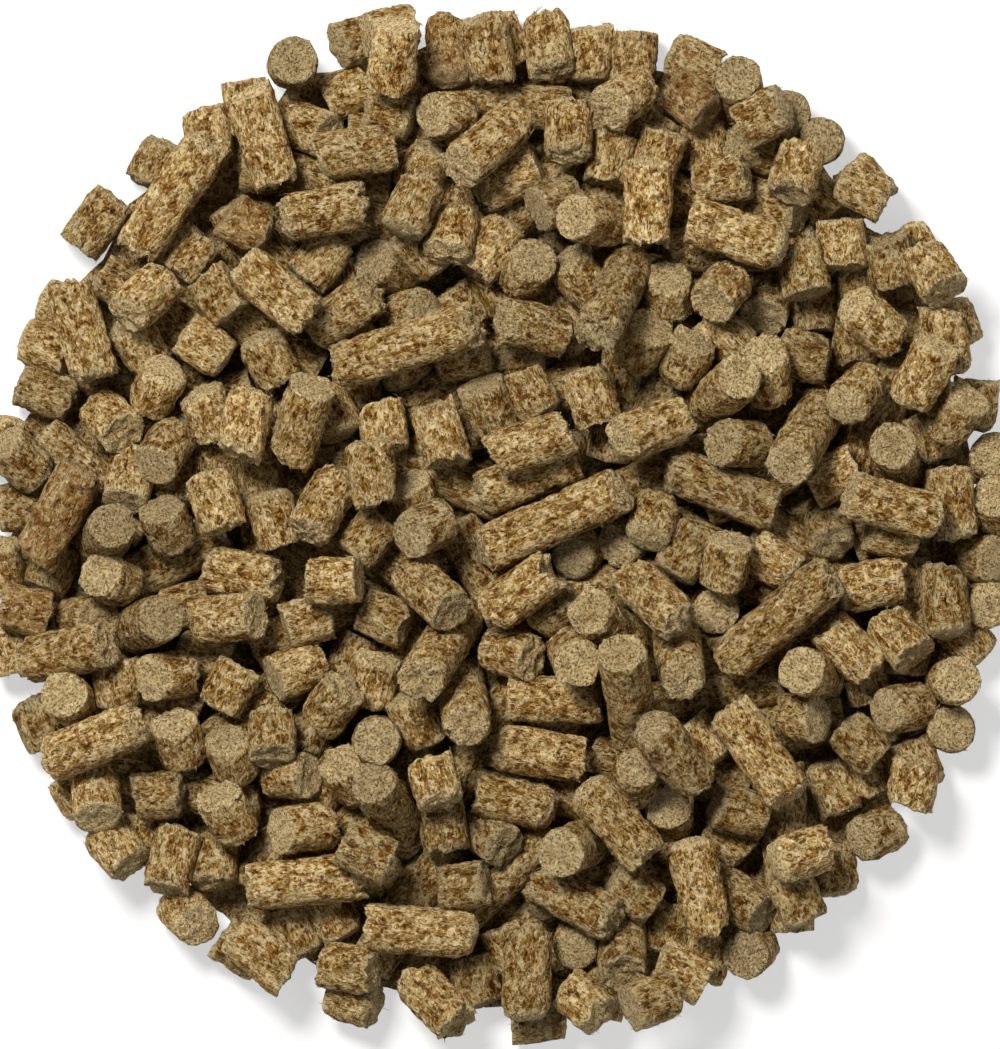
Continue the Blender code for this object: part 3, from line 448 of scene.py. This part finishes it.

# %% [markdown]
# The skin of one pellet is a grid: rings of points from the middle of one end over its rim, along the side
# and in to the middle of the other end. Broad lumps, chips and cracks move the points in or out. Three
# values go with each point for the colours: how pale it is, how much painted shade it gets where it lies deep
# in a hollow, crack, dent or chip, and its place in the grain.

# %% The skin of a pellet
def pellet_skin(length, kinds, around_count, step, dice):
    """Points in mm, triangles, picture coordinates and colour values of one upright pellet."""
    radius = PELLET_RADIUS * 1000
    half = length * 500
    calm = float(np.clip(half / 5.5, 0.5, 1.0))  # a short rod keeps its form at calmer ends
    step = step * 1000
    cap = max(3, round(radius / step))
    side = max(6, round(2 * half / step))
    shift = np.array([dice.uniform(0, 300) for _ in range(3)])
    share = np.concatenate([np.arange(1, cap + 1) / cap, np.ones(side - 1), np.arange(cap, 0, -1) / cap])
    level = np.concatenate([-np.ones(cap), np.linspace(-1, 1, side + 1)[1:-1], np.ones(cap)]) * half
    on_cap = np.concatenate([-np.ones(cap), np.zeros(side - 1), np.ones(cap)])
    turn = np.arange(around_count) * 2 * math.pi / around_count
    share, turn_grid = np.meshgrid(share, turn, indexing="ij")
    level = np.repeat(level[:, None], around_count, axis=1)
    on_cap = np.repeat(on_cap[:, None], around_count, axis=1)
    flat = np.stack([np.cos(turn_grid) * share * radius, np.sin(turn_grid) * share * radius, level], axis=-1)
    tall = level.copy()
    hollow_shade = np.zeros_like(level)
    pale = np.zeros_like(level)
    narrow = np.zeros_like(level)
    for end, kind in ((-1, kinds[0]), (1, kinds[1])):
        state = dice.getstate()
        drop, depth_and_painted_shade = end_height(kind, share, turn_grid, flat + shift, calm, dice)
        dice.setstate(state)
        rim_drop, _ = end_height(kind, np.ones_like(share), turn_grid, np.stack(
            [np.cos(turn_grid) * radius, np.sin(turn_grid) * radius, np.full_like(level, end * half)],
            axis=-1) + shift, calm, dice)
        here = on_cap == end
        tall = np.where(here, end * (half - drop), tall)
        hollow_shade = np.where(here, depth_and_painted_shade, hollow_shade)
        near = smooth(half - 2.6, half, level * end) * (on_cap == 0)
        tall = tall - end * rim_drop * near
        reach = half - level * end
        edge = PALE_EDGE[kind]
        # The end face is pale, and less pale where it is hollow, which is painted shade.
        pale = np.where(here, smooth(0.80, 0.97, share) * edge * 0.4 + (1 - hollow_shade) * 0.74, pale)
        pale = pale + edge * smooth(0.8, 0.0, reach) * (on_cap == 0) * (0.5 + 0.5 * lumps(flat + shift, 1.7))
        worn = WEAR[kind] * calm
        narrow = narrow + worn * smooth(1.6, 0.0, reach) * (on_cap == 0) + worn * here
    bulk = flat + shift
    wave = lumps(bulk, 0.33) * 0.13 + lumps(bulk + 50, 0.9) * 0.10 + lumps(bulk + 90, 2.1) * 0.11
    crack_turn = dice.uniform(0, 2 * math.pi)
    crack_way = (turn_grid - crack_turn + 0.3 * lumps(bulk, 0.4) + math.pi) % (2 * math.pi) - math.pi
    crack = np.exp(-(crack_way / 0.09) ** 2) * smooth(-0.2, 0.5, lumps(bulk * 0 + level[..., None], 0.12))
    crack = crack * (dice.random() < 0.30)
    ring_level = dice.uniform(-0.6, 0.6) * half + 0.5 * np.sin(turn_grid + dice.uniform(0, 6))
    ring = np.exp(-((level - ring_level) / 0.16) ** 2) * (dice.random() < 0.5)
    chip = smooth(0.42, 0.62, lumps(bulk + 130, 0.45)) * 0.20
    groove = (0.30 * crack + 0.16 * ring) * (on_cap == 0)
    frayed = lumps(bulk + 170, 0.8) + lumps(bulk + 190, 2.0) - 0.4
    rim_wear = smooth(1.3, 0.0, half - np.abs(level)) * 0.17 * calm * frayed
    out = radius * share * (0.975 - narrow) + rim_wear * share
    out = out + (wave - groove - chip) * smooth(0.2, 0.9, share)
    out = np.minimum(out, radius * 1.035 * np.maximum(share, 0.05))
    points = np.stack([np.cos(turn_grid) * out, np.sin(turn_grid) * out, tall], axis=-1)
    # Painted shade: the colour gets darker in the end hollows, the cracks and rings, the dents and the chips.
    depth_and_painted_shade = np.clip(hollow_shade + 1.2 * groove + 0.9 * np.clip(-wave * 4 - 0.25, 0, 0.5) + chip * 1.2, 0, 1)
    rows, count = share.shape
    first = points[0].mean(axis=0)
    last = points[-1].mean(axis=0)
    grid = np.arange(rows * count).reshape(rows, count)
    beside = np.roll(grid, -1, axis=1)
    low_a, low_b, up_a, up_b = grid[:-1], beside[:-1], grid[1:], beside[1:]
    tris = np.concatenate([
        np.stack([low_a, low_b, up_b], axis=-1).reshape(-1, 3),
        np.stack([low_a, up_b, up_a], axis=-1).reshape(-1, 3),
        np.stack([beside[0], grid[0], np.full(count, rows * count)], axis=-1),
        np.stack([grid[-1], beside[-1], np.full(count, rows * count + 1)], axis=-1)])
    all_points = np.concatenate([points.reshape(-1, 3), [first, last]])
    values = np.stack([np.clip(pale, 0, 1), depth_and_painted_shade], axis=-1).reshape(-1, 2)
    values = np.concatenate([values, [values[0], values[-1]]])
    u_side = 0.02 + 0.96 * np.arange(count + 1) / count
    v_side = 0.36 + 0.62 * (level[:, 0] + half) / (2 * half)
    disc = 0.155 * share[..., None] * np.stack([np.cos(turn_grid), np.sin(turn_grid)], axis=-1)
    middle = np.where(on_cap[..., None] > 0, np.array([0.52, 0.17]), np.array([0.18, 0.17]))
    cap_uv = (middle + disc).reshape(-1, 2)
    cap_uv = np.concatenate([cap_uv, [[0.18, 0.17], [0.52, 0.17]]])
    uv = cap_uv[tris]
    row_of = np.minimum(tris // count, rows - 1)
    on_side = ((row_of >= cap - 1) & (row_of <= rows - cap)).all(axis=1) & (tris < rows * count).all(axis=1)
    column = tris % count
    wrap = (column.max(axis=1) - column.min(axis=1) > count / 2)[:, None] & (column < count / 2)
    along_u = u_side[np.minimum(np.where(wrap, column + count, column), count)]
    side_uv = np.stack([along_u, v_side[row_of]], axis=-1)
    uv = np.where(on_side[:, None, None], side_uv, uv)
    return all_points, tris, uv, values, shift, points, (rows, count, cap)


trial = pellet_skin(0.010, ("disc", "crown"), 36, 0.00045, random.Random(1))
print("a 10 mm pellet has", len(trial[0]), "points and", len(trial[1]), "triangles")

# %% [markdown]
# Torn fibres stand out of the rims and cling to the sides: thin pale hairs, half a millimetre to two
# millimetres long. Hair curves would be lost on export, so each is a slim three-sided blade that starts
# just inside the skin and bends once.

# %% Fibres
FIBRE_REACH = 3.25  # mm from the axis that a fibre's tip may reach


def unit(ways):
    return ways / np.maximum(np.linalg.norm(ways, axis=1), 1e-6)[:, None]


def blades(skin, shape, count, dice):
    """Slim blades on the skin: points in mm, triangles and colour values."""
    rows, around, cap = shape
    rng = np.random.default_rng(dice.randrange(1 << 30))
    at_rim = rng.random(count) < 0.55
    ends = rng.random(count) < 0.5
    upper_rim = rows - cap - rng.integers(0, 3, count)
    lower_rim = cap + rng.integers(-2, 1, count)
    on_side = rng.integers(cap, rows - cap, count)
    row = np.where(at_rim, np.where(ends, upper_rim, lower_rim), on_side)
    column = rng.integers(0, around, count)
    start = skin[row, column]
    out = unit(start * np.array([1, 1, 0]))
    sense = np.where(ends, 1.0, -1.0)
    along = np.stack([np.zeros(count), np.zeros(count), sense], axis=-1)
    across = np.cross(out, along)
    lie = unit(rng.normal(0, 1, count)[:, None] * across + rng.normal(0, 1, count)[:, None] * along)
    spray = along * 0.6 + out * rng.uniform(-0.7, 0.35, count)[:, None]
    spray = spray + across * rng.normal(0, 0.5, count)[:, None]
    way = np.where(at_rim[:, None], spray, lie)
    long = np.where(at_rim, rng.uniform(0.35, 0.95, count), rng.uniform(0.5, 1.9, count))[:, None]
    lift = np.where(at_rim, 0.0, 0.07)[:, None]
    middle = start + way * long * 0.5 + out * lift
    dip = np.where(at_rim, 0.0, -0.03)[:, None]
    tip = start + way * long + out * dip + across * rng.normal(0, 0.12, count)[:, None]
    reach = np.maximum(np.linalg.norm(tip[:, :2], axis=1), 1e-6)
    tip[:, :2] *= np.minimum(1, FIBRE_REACH / reach)[:, None]
    thick = rng.uniform(0.035, 0.085, count)[:, None]
    side = unit(np.cross(way, out + 0.01))
    third = unit(np.cross(side, way))
    rings = []
    for centre, share in ((start - out * 0.08, 1.0), (middle, 0.9)):
        for angle in (0.0, 2.094, 4.189):
            rings.append(centre + thick * share * (math.cos(angle) * side + 0.6 * math.sin(angle) * third))
    points = np.stack(rings + [tip], axis=1)
    pattern = np.array([[0, 2, 1], [0, 1, 4], [0, 4, 3], [1, 2, 5], [1, 5, 4], [2, 0, 3], [2, 3, 5],
                        [3, 4, 6], [4, 5, 6], [5, 3, 6]])
    tris = (pattern[None] + 7 * np.arange(count)[:, None, None]).reshape(-1, 3)
    values = np.stack([rng.uniform(0.45, 1.0, count), rng.uniform(0.0, 0.15, count)], axis=-1)
    return points.reshape(-1, 3), tris, np.repeat(values, 7, axis=0)


trial_blades = blades(trial[5], trial[6], 20, random.Random(2))
print("20 fibres have", len(trial_blades[1]), "triangles")

# %% [markdown]
# Pellets that share a piece share its picture coordinates too, so each gets its own square of a grid: the
# side unrolled in the upper part, the two ends as discs below it, and a small corner for its fibres.

# %% Pieces from pellets
def whole_pellet(index, kinds, around_count, step, fibres, tone, rust):
    """One pellet in its place, with its picture coordinates and colour values."""
    dice = random.Random(1000 + index)
    points, tris, uv, values, shift, skin, shape = pellet_skin(
        pile.length[index], kinds, around_count, step, dice)
    grain = points + shift
    if fibres:
        more, more_tris, more_values = blades(skin, shape, fibres, dice)
        spot = np.arange(len(more))
        patch = np.stack([0.74 + 0.22 * (spot % 7) / 6, 0.05 + 0.24 * (spot // 7 % 17) / 17], axis=-1)
        tris = np.concatenate([tris, more_tris + len(points)])
        uv = np.concatenate([uv, patch[more_tris]])
        grain = np.concatenate([grain, more + shift])
        points = np.concatenate([points, more])
        values = np.concatenate([values, more_values])
    turned = Vector(pile.way[index]).to_track_quat("Z", "Y").to_matrix() @ Matrix.Rotation(
        dice.uniform(0, 2 * math.pi), 3, "Z")
    points = points * 0.001 @ np.array(turned).T + pile.middle[index]
    tones = np.tile([tone, rust], (len(points), 1))
    return points, tris, uv, np.concatenate([values, tones], axis=1), grain


def piece_from(name, pellets):
    """Joins pellets to one mesh object with its picture coordinates and colour values."""
    cells = math.ceil(math.sqrt(len(pellets)))
    start = 0
    stacks = [[], [], [], [], []]
    for number, (points, tris, uv, values, grain) in enumerate(pellets):
        corner = np.array([number % cells, number // cells])
        for stack, part in zip(stacks, (points, tris + start, (uv + corner) / cells, values, grain)):
            stack.append(part)
        start += len(points)
    points, tris, uv, values, grain = (np.concatenate(stack) for stack in stacks)
    mesh = bpy.data.meshes.new(name)
    mesh.vertices.add(len(points))
    mesh.vertices.foreach_set("co", points.astype(np.float32).ravel())
    mesh.loops.add(tris.size)
    mesh.loops.foreach_set("vertex_index", tris.astype(np.int32).ravel())
    mesh.polygons.add(len(tris))
    mesh.polygons.foreach_set("loop_start", np.arange(len(tris), dtype=np.int32) * 3)
    mesh.update(calc_edges=True)
    mesh.shade_smooth()
    layer = mesh.uv_layers.new(name="OFBake")
    layer.data.foreach_set("uv", uv.astype(np.float32).ravel())
    for number, value in enumerate(("pale", "depth_and_painted_shade", "tone", "rust")):
        made = mesh.attributes.new(value, "FLOAT", "POINT")
        made.data.foreach_set("value", values[:, number].astype(np.float32))
    made = mesh.attributes.new("grain", "FLOAT_VECTOR", "POINT")
    made.data.foreach_set("vector", grain.astype(np.float32).ravel())
    piece = bpy.data.objects.new(name, mesh)
    bpy.context.scene.collection.objects.link(piece)
    return piece


print("pieces are joined from whole pellets")

# %% [markdown]
# Close up, the pressed fibre is a felt of chopped straw and wood: tan and olive chips half a millimetre
# across, brown bits and dark pits between them, and pale threads that lie every way. No single noise looks
# like that. Here cells give the chips, two stretched noises that cross each other give the threads, and a
# fine noise gives the pits. A slow noise bends the places first, so the threads curl. All of it follows the
# grain value of the mesh, which is in millimetres. Torn ends get a paler mix of the same pattern.

# %% Pressed fibre
def fibre_finish(name, shade=1.0):
    """The material of pressed fibre; a shade under 1 darkens all of it, a painted shade."""
    material = bpy.data.materials.new(name)
    material.use_nodes = True
    nodes, links = material.node_tree.nodes, material.node_tree.links
    shader = nodes["Principled BSDF"]
    shader.inputs["Roughness"].default_value = 0.78
    shader.inputs["Specular IOR Level"].default_value = 0.05

    def value(name_of):
        made = nodes.new("ShaderNodeAttribute")
        made.attribute_name = name_of
        return made

    grain = value("grain").outputs["Vector"]

    def math_of(kind, one, two=None, three=None, clamp=False):
        made = nodes.new("ShaderNodeMath")
        made.operation = kind
        made.use_clamp = clamp
        for slot, given in enumerate((one, two, three)):
            if given is None:
                continue
            if isinstance(given, (int, float)):
                made.inputs[slot].default_value = given
            else:
                links.new(given, made.inputs[slot])
        return made.outputs[0]

    def times(one, two, clamp=False):
        return math_of("MULTIPLY", one, two, clamp=clamp)

    def scaled(one, by, plus):
        return math_of("MULTIPLY_ADD", one, by, plus)

    def noise(scale, detail, turn=(0, 0, 0), stretch=(1, 1, 1), place=None):
        move = nodes.new("ShaderNodeMapping")
        move.inputs["Rotation"].default_value = turn
        move.inputs["Scale"].default_value = stretch
        links.new(place or grain, move.inputs["Vector"])
        made = nodes.new("ShaderNodeTexNoise")
        made.inputs["Scale"].default_value = scale
        made.inputs["Detail"].default_value = detail
        made.inputs["Roughness"].default_value = 0.68
        links.new(move.outputs[0], made.inputs["Vector"])
        return made.outputs["Fac"]

    def between(given, low, high):
        made = nodes.new("ShaderNodeMapRange")
        made.interpolation_type = "SMOOTHSTEP"
        made.inputs["From Min"].default_value = low
        made.inputs["From Max"].default_value = high
        links.new(given, made.inputs["Value"])
        return made.outputs[0]

    def mixed(how_much, one, two, kind="MIX"):
        made = nodes.new("ShaderNodeMix")
        made.data_type = "RGBA"
        made.blend_type = kind
        if isinstance(how_much, (int, float)):
            made.inputs[0].default_value = how_much
        else:
            links.new(how_much, made.inputs[0])
        for slot, given in ((6, one), (7, two)):
            if isinstance(given, tuple):
                made.inputs[slot].default_value = (*given, 1.0)
            else:
                links.new(given, made.inputs[slot])
        return made.outputs[2]

    sway = nodes.new("ShaderNodeTexNoise")
    sway.inputs["Scale"].default_value = 0.9
    sway.inputs["Detail"].default_value = 2.0
    links.new(grain, sway.inputs["Vector"])
    warp = nodes.new("ShaderNodeVectorMath")
    warp.operation = "MULTIPLY_ADD"
    warp.inputs[1].default_value = (0.9, 0.9, 0.9)
    links.new(sway.outputs["Color"], warp.inputs[0])
    links.new(grain, warp.inputs[2])
    bent = warp.outputs[0]

    chips = nodes.new("ShaderNodeTexVoronoi")
    chips.inputs["Scale"].default_value = 1.6
    links.new(bent, chips.inputs["Vector"])
    chip = nodes.new("ShaderNodeSeparateColor")
    links.new(chips.outputs["Color"], chip.inputs[0])
    seams = between(chips.outputs["Distance"], 0.60, 0.76)
    broad = noise(0.62, 3, (0.2, 0.1, 0), (1.2, 1.2, 0.7), bent)
    small = noise(2.3, 4, (0.2, 0.1, 0), (1.45, 1.45, 0.62), bent)
    threads_a = between(noise(1.0, 2, (0.2, 0.35, 0.2), (5.0, 4.0, 0.60), bent), 0.59, 0.63)
    threads_b = between(noise(1.0, 2, (1.0, -0.5, 0.9), (3.4, 0.6, 5.4), bent), 0.59, 0.63)
    threads = math_of("MAXIMUM", threads_a, threads_b)
    pits = between(noise(2.5, 2, (0.3, 0.2, 0), (1.3, 1.3, 0.5)), 0.40, 0.36)
    level = scaled(small, 1.85, scaled(broad, 1.35, -1.25))
    level = scaled(chip.outputs[0], 0.34, level)
    ramp = nodes.new("ShaderNodeValToRGB")
    stops = ramp.color_ramp.elements
    stops[0].position, stops[0].color = 0.14, (0.090, 0.030, 0.004, 1)
    stops[1].position, stops[1].color = 0.86, (0.93, 0.73, 0.40, 1)
    for place_of, colour in ((0.30, (0.225, 0.085, 0.010, 1)), (0.46, (0.400, 0.210, 0.040, 1)),
                             (0.62, (0.62, 0.385, 0.110, 1))):
        stop = stops.new(place_of)
        stop.color = colour
    links.new(level, ramp.inputs[0])
    bark_chip = times(between(chip.outputs[1], 0.86, 0.92), 0.60)
    colour = mixed(bark_chip, ramp.outputs[0], (0.30, 0.115, 0.026))
    olive_chip = times(between(chip.outputs[2], 0.78, 0.9), 0.40)
    colour = mixed(olive_chip, colour, (0.28, 0.19, 0.050))
    lines = times(math_of("MAXIMUM", seams, threads), 0.80)
    colour = mixed(times(lines, between(broad, 0.34, 0.52)), colour, (0.97, 0.77, 0.43))
    speckled = scaled(small, 0.9, 0.70)
    pale = times(value("pale").outputs["Fac"], speckled, clamp=True)
    torn = mixed(between(small, 0.37, 0.55), (0.44, 0.24, 0.06), (1.0, 0.80, 0.44))
    colour = mixed(times(pale, 0.85), colour, torn)
    rusty = times(value("rust").outputs["Fac"], between(small, 0.42, 0.60))
    colour = mixed(times(rusty, 0.60), colour, (0.32, 0.135, 0.04))
    colour = mixed(times(pits, 0.80), colour, (0.055, 0.024, 0.006))
    # The colour is darkened where the skin lies deep, a painted shade in hollows, cracks, dents and chips,
    # and by each pellet's tone and the finish's shade.
    shade_of = scaled(value("depth_and_painted_shade").outputs["Fac"], -0.32, 1.04)
    shade_of = times(shade_of, times(value("tone").outputs["Fac"], shade))
    tint = nodes.new("ShaderNodeCombineColor")
    for slot in range(3):
        links.new(shade_of, tint.inputs[slot])
    colour = mixed(1.0, colour, tint.outputs[0], "MULTIPLY")
    links.new(colour, shader.inputs["Base Color"])
    relief = scaled(pits, -0.60, times(small, 2.5))
    relief = scaled(threads_a, 0.35, relief)
    bump = nodes.new("ShaderNodeBump")
    bump.inputs["Strength"].default_value = 1.0
    bump.inputs["Distance"].default_value = 0.00050
    links.new(relief, bump.inputs["Height"])
    links.new(bump.outputs[0], shader.inputs["Normal"])
    return material


straw = fibre_finish("straw_fibre")
# The bed's pellets and the crumbs get the same fibre a little darker, a painted shade for lying lower.
painted_shade_fibre = fibre_finish("shaded_fibre", 0.93)
print("materials", straw.name, painted_shade_fibre.name)

# %% [markdown]
# Each loose pellet stands for its own solid. Its grid is fine enough for the chips and the torn rims, and
# its tone is drawn by lot, because the pellets come from many batches.

# %% Loose pellets
# Points around a pellet, grid step in metres and number of fibres, by how well the pellet shows
LOOSE_GRID = (46, 0.00034, 40)
UPPER_GRID = (38, 0.00042, 26)
LOWER_GRID = (24, 0.0006, 8)
COVERED_GRID = (16, 0.0009, 0)
first_loose = len(pile.length) - len(LOOSE)
first_upper = first_loose - len(UPPER)
first_lower = first_upper - len(LOWER)


def set_piece(name, pellets, node, finish):
    """Makes a piece of pellets that takes the place of a solid."""
    piece = piece_from(name, pellets)
    piece.data.materials.append(finish)
    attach(piece, "root")
    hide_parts(node)
    return piece


def dressed(index, rows, first, grid):
    """One pellet of a list, with the ends, the tone and the rust that belong to its place."""
    row = rows[index - first]
    dice = random.Random(500 + index)
    spot = (row[0], row[1])
    kinds = (end_kind((row[2], row[3]), dice), end_kind(spot, dice))
    tone = 0.80 + 0.42 * dice.random()
    return whole_pellet(index, kinds, *grid, tone, float(spot in RUSTY))


for number in range(len(LOOSE)):
    pellet = dressed(first_loose + number, LOOSE, first_loose, LOOSE_GRID)
    of_place = f"pellet_{number + 1:02d}"
    set_piece("loose_" + of_place, [pellet], of_place, straw)
print("loose pellets", len(LOOSE))

# %% [markdown]
# The pellets below are one solid in the part. Here they are whole pellets again, in a few pieces that each
# reach across the heap. The ones that hardly show get coarser grids.

# %% Pellets of the bed
def bed_piece(name, pellets):
    piece = set_piece(name, pellets, "litter_bed", painted_shade_fibre)
    print(name, len(piece.data.polygons), "triangles")


upper = [dressed(first_upper + number, UPPER, first_upper, UPPER_GRID) for number in range(len(UPPER))]
for share in range(4):
    bed_piece(f"upper_pellets_{share + 1}", upper[share::4])
lower = [dressed(first_lower + number, LOWER, first_lower, LOWER_GRID) for number in range(len(LOWER))]
bed_piece("lower_pellets", lower)
hidden = []
for index in range(first_lower):
    dice = random.Random(500 + index)
    kinds = (dice.choice(("disc", "ragged")), dice.choice(("disc", "ragged")))
    # The covered pellets get a fixed tone of 0.9, darker than the others on the whole, a painted shade for
    # lying lowest.
    hidden.append(whole_pellet(index, kinds, *COVERED_GRID, 0.9, 0.0))
bed_piece("covered_pellets", hidden)

# %% [markdown]
# Crumbs and dust gather under the pellets and close the gaps between the lowest ones. A disc of fine
# relief with a flat underside stands for them. It also is what the heap rests on.

# %% Crumbs underneath
def crumb_floor():
    rings, count = 60, 150
    share = np.arange(1, rings + 1) / rings
    turn = np.arange(count) * 2 * math.pi / count
    share, turn = np.meshgrid(share, turn, indexing="ij")
    rim = np.stack([np.cos(turn) * 24, np.sin(turn) * 24, turn * 0], -1)
    edge = CRUMB_RADIUS * (1 - 0.02 * (1 + lumps(rim, 1.0)))
    flat = np.stack([np.cos(turn) * edge * share, np.sin(turn) * edge * share, share * 0], axis=-1)
    rough = lumps(flat * 1000, 0.7) + 0.6 * lumps(flat * 1000 + 20, 1.9)
    height = CRUMB_HEIGHT * (0.78 + 0.16 * rough) * smooth(1.002, 0.97, share) + 0.0001
    top = flat + np.stack([height * 0, height * 0, np.minimum(height, CRUMB_HEIGHT * 1.15)], axis=-1)
    grid = np.arange(rings * count).reshape(rings, count)
    beside = np.roll(grid, -1, axis=1)
    under = len(grid.ravel()) + 1 + np.arange(count)
    points = np.concatenate([top.reshape(-1, 3), [[0, 0, CRUMB_HEIGHT * 0.8]], flat[-1], [[0, 0, 0]]])
    tip, foot = rings * count, len(points) - 1
    tris = np.concatenate([
        np.stack([grid[:-1], grid[1:], beside[1:]], -1).reshape(-1, 3),
        np.stack([grid[:-1], beside[1:], beside[:-1]], -1).reshape(-1, 3),
        np.stack([np.full(count, tip), grid[0], beside[0]], -1),
        np.stack([grid[-1], under, np.roll(under, -1)], -1),
        np.stack([grid[-1], np.roll(under, -1), beside[-1]], -1),
        np.stack([np.full(count, foot), np.roll(under, -1), under], -1)])
    uv = (0.5 + points[:, :2] / CRUMB_RADIUS * 0.24)[tris] * [1, 1]
    below = (tris >= rings * count + 1).all(axis=1)
    uv = np.where(below[:, None, None], uv * 0.98 + [0.25, 0.25], uv - [0.24, 0.24])
    # Colour values of the crumbs: a little pale, a little painted shade for lying under the pellets, a
    # slightly lower tone, no rust.
    values = np.tile([0.1, 0.20, 0.95, 0.0], (len(points), 1))
    return points, tris, uv, values, points * 1000


bed_piece("crumb_floor", [crumb_floor()])

# %% [markdown]
# The floor is a plain pale plane that takes the heap's shadow. The picture's light is soft and comes from
# above, a little from the upper left, and the gaps go nearly black. So one broad lamp gives most of the
# light, a weak even sky fills the rest, and the lamp isn't straight above, where it would reach the gaps.
# What the camera sees of the floor and the sky is whitened, which puts no more light on the heap.

# %% Floor and light
FLOOR_SIZE = 3.0
FLOOR_PALE = (0.93, 0.93, 0.93, 1)
FLOOR_GLOW = 0.55
SKY_LIGHT = 0.13
WHITE = (1, 1, 1, 1)


def looked_at(tree):
    """1 where the camera, a mirror or a glass looks straight at the surface, else 0."""
    path = tree.nodes.new("ShaderNodeLightPath")
    seen = path.outputs["Is Camera Ray"]
    for ray in ("Is Glossy Ray", "Is Transmission Ray"):
        either = tree.nodes.new("ShaderNodeMath")
        either.operation = "MAXIMUM"
        tree.links.new(seen, either.inputs[0])
        tree.links.new(path.outputs[ray], either.inputs[1])
        seen = either.outputs[0]
    return seen


def whiten(tree, share, shader, white, output):
    """Mixes a white into what the camera sees of a surface, and leaves its light on the heap alone."""
    part = tree.nodes.new("ShaderNodeMath")
    part.operation = "MULTIPLY"
    part.inputs[1].default_value = share
    backdrop = tree.nodes.new(white)
    backdrop.inputs["Color"].default_value = WHITE
    both = tree.nodes.new("ShaderNodeMixShader")
    tree.links.new(looked_at(tree), part.inputs[0])
    tree.links.new(part.outputs[0], both.inputs[0])
    tree.links.new(shader.outputs[0], both.inputs[1])
    tree.links.new(backdrop.outputs[0], both.inputs[2])
    tree.links.new(both.outputs[0], tree.nodes[output].inputs["Surface"])


bpy.ops.mesh.primitive_plane_add(size=FLOOR_SIZE, location=(0, 0, 0))
floor = bpy.context.object
floor.name = "floor"
paper = bpy.data.materials.new("pale_floor")
paper.use_nodes = True
paper_shader = paper.node_tree.nodes["Principled BSDF"]
paper_shader.inputs["Base Color"].default_value = FLOOR_PALE
paper_shader.inputs["Roughness"].default_value = 0.9
whiten(paper.node_tree, FLOOR_GLOW, paper_shader, "ShaderNodeEmission", "Material Output")
floor.data.materials.append(paper)


def lamp(name, spot, size, power, tint):
    """A round lamp that looks at the heap; sizes in metres, power in watts."""
    data = bpy.data.lights.new(name, "AREA")
    data.shape = "DISK"
    data.size = size
    data.energy = power
    data.color = tint
    made = bpy.data.objects.new(name, data)
    made.location = spot
    made.rotation_euler = (Vector((0, 0, 0.01)) - Vector(spot)).to_track_quat("-Z", "Y").to_euler()
    bpy.context.scene.collection.objects.link(made)


lamp("key", (-0.20, 0.28, 0.62), 0.20, 6.6, (1.0, 0.985, 0.96))
lamp("fill", (0.35, -0.15, 0.55), 0.35, 0.5, (0.97, 0.98, 1.0))
world = bpy.data.worlds.new("sky")
world.use_nodes = True
sky = world.node_tree.nodes["Background"]
sky.inputs["Color"].default_value = WHITE
sky.inputs["Strength"].default_value = SKY_LIGHT
whiten(world.node_tree, 1.0, sky, "ShaderNodeBackground", "World Output")
bpy.context.scene.world = world
print("lamps", [item.name for item in bpy.data.lights])

# %% [markdown]
# The camera looks straight down, as the picture does. The frame is 1000 by 1049 steps, so it is 1049
# steps high at the height of the pellets that show. A long lens from a metre away keeps the sides upright.

# %% Camera
PICTURE = (1000, 1049)  # steps wide and high
SHOWN_HEIGHT = 0.014
AWAY = 1.0
SENSOR = 24.0
camera_data = bpy.data.cameras.new("camera")
camera = bpy.data.objects.new("camera", camera_data)
bpy.context.scene.collection.objects.link(camera)
camera_data.sensor_fit = "VERTICAL"
camera_data.sensor_height = SENSOR
camera_data.lens = SENSOR * AWAY / (PICTURE[1] * STEP)
camera_data.clip_start = 0.05
camera_data.clip_end = 10.0
camera.location = ((PICTURE[0] / 2 - STEP_MIDDLE[0]) * STEP + pile.moved[0],
                   (STEP_MIDDLE[1] - PICTURE[1] / 2) * STEP + pile.moved[1], SHOWN_HEIGHT + AWAY)
bpy.context.scene.camera = camera
bpy.context.scene.view_settings.view_transform = "Standard"
print("lens", round(camera_data.lens, 1), "mm, moved by", [round(float(v), 5) for v in pile.moved])
